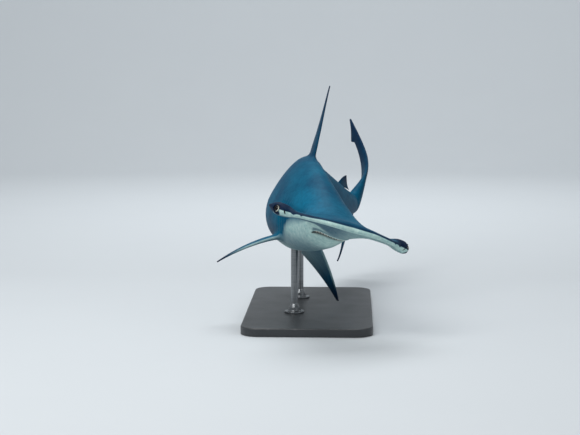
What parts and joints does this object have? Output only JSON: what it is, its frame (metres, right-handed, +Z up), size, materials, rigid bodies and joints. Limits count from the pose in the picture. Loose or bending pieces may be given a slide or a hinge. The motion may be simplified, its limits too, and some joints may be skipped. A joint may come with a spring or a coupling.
{
  "type": "hammerhead shark display model",
  "caption": "Still, life-size scalloped hammerhead shark, banked and bent in mid-swim, held over a flat base by short rods.",
  "frame": {"origin": "centre of the underside of the stand's base", "axes": "+Z up, +Y along the base from the head towards the tail, +X to the side that the shark's left faces"},
  "size_m": [0.8188, 2.2616, 1.031],
  "materials": {
    "hide": "satin, slate teal above and off-white below, with fine sandpaper grain",
    "fin_hide": "satin, slate teal with dusky tips and paler undersides",
    "eye": "clear gloss over a dark pupil and a pale iris",
    "stand_paint": "satin charcoal paint",
    "stand_steel": "brushed"
  },
  "bodies": {
    "root": {"head": "hide", "trunk": "hide", "tail_stalk": "hide", "first_dorsal_fin": "fin_hide", "second_dorsal_fin": "fin_hide", "anal_fin": "fin_hide", "pectoral_fin_left": "fin_hide", "pectoral_fin_right": "fin_hide", "pelvic_fin_left": "fin_hide", "pelvic_fin_right": "fin_hide", "caudal_fin_upper": "fin_hide", "caudal_fin_lower": "fin_hide", "eye_left": "eye", "eye_right": "eye", "stand_base": "stand_paint", "stand_rod_front": "stand_steel", "stand_rod_rear": "stand_steel"}
  },
  "joints": []
}
